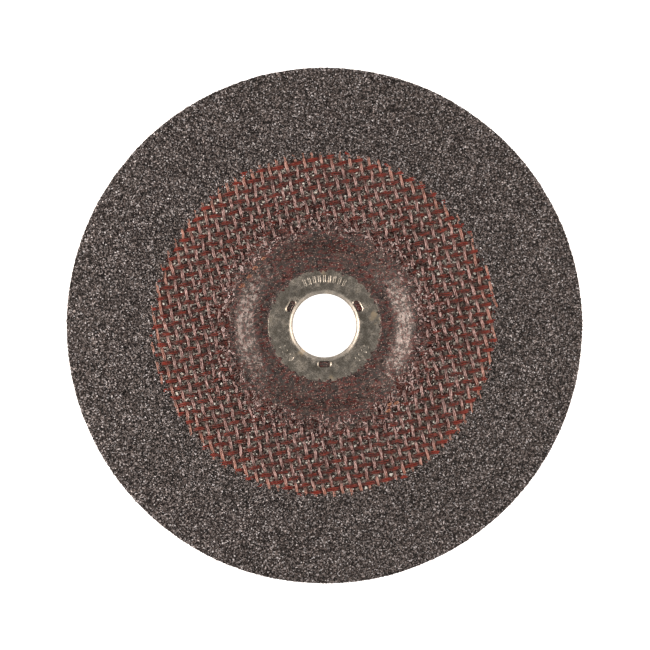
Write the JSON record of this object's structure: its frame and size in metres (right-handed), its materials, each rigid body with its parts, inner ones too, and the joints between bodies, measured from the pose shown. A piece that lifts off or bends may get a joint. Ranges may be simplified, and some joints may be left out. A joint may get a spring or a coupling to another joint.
{
  "type": "depressed-centre grinding disc",
  "caption": "Round resin-bonded grinding disc with a recessed hub, a steel-lined bore and a woven glass-fibre face, for an angle grinder.",
  "frame": {"origin": "on the axis of the bore, at the back clamping face of the hub, which is the lowest plane", "axes": "+Z along the bore from the back face to the recessed working face; X and Y lie in the disc, with a flange slot pointing along -Y"},
  "size_m": [0.18, 0.18, 0.0106],
  "materials": {
    "label_paper": "printed satin paper pressed onto the back",
    "resin_coated_glass_fibre": "plain-woven glass yarns in brick-red phenolic resin, semi-gloss",
    "bonded_grit": "coarse dark grey grit with bright grains, matte",
    "plated_steel": "dull zinc-plated stamping with light wear"
  },
  "bodies": {
    "root": {"label": "label_paper", "back_mesh": "resin_coated_glass_fibre", "back_abrasive_layer": "bonded_grit", "middle_mesh": "resin_coated_glass_fibre", "front_abrasive_layer": "bonded_grit", "front_mesh": "resin_coated_glass_fibre", "centre_ring": "plated_steel"}
  },
  "joints": []
}
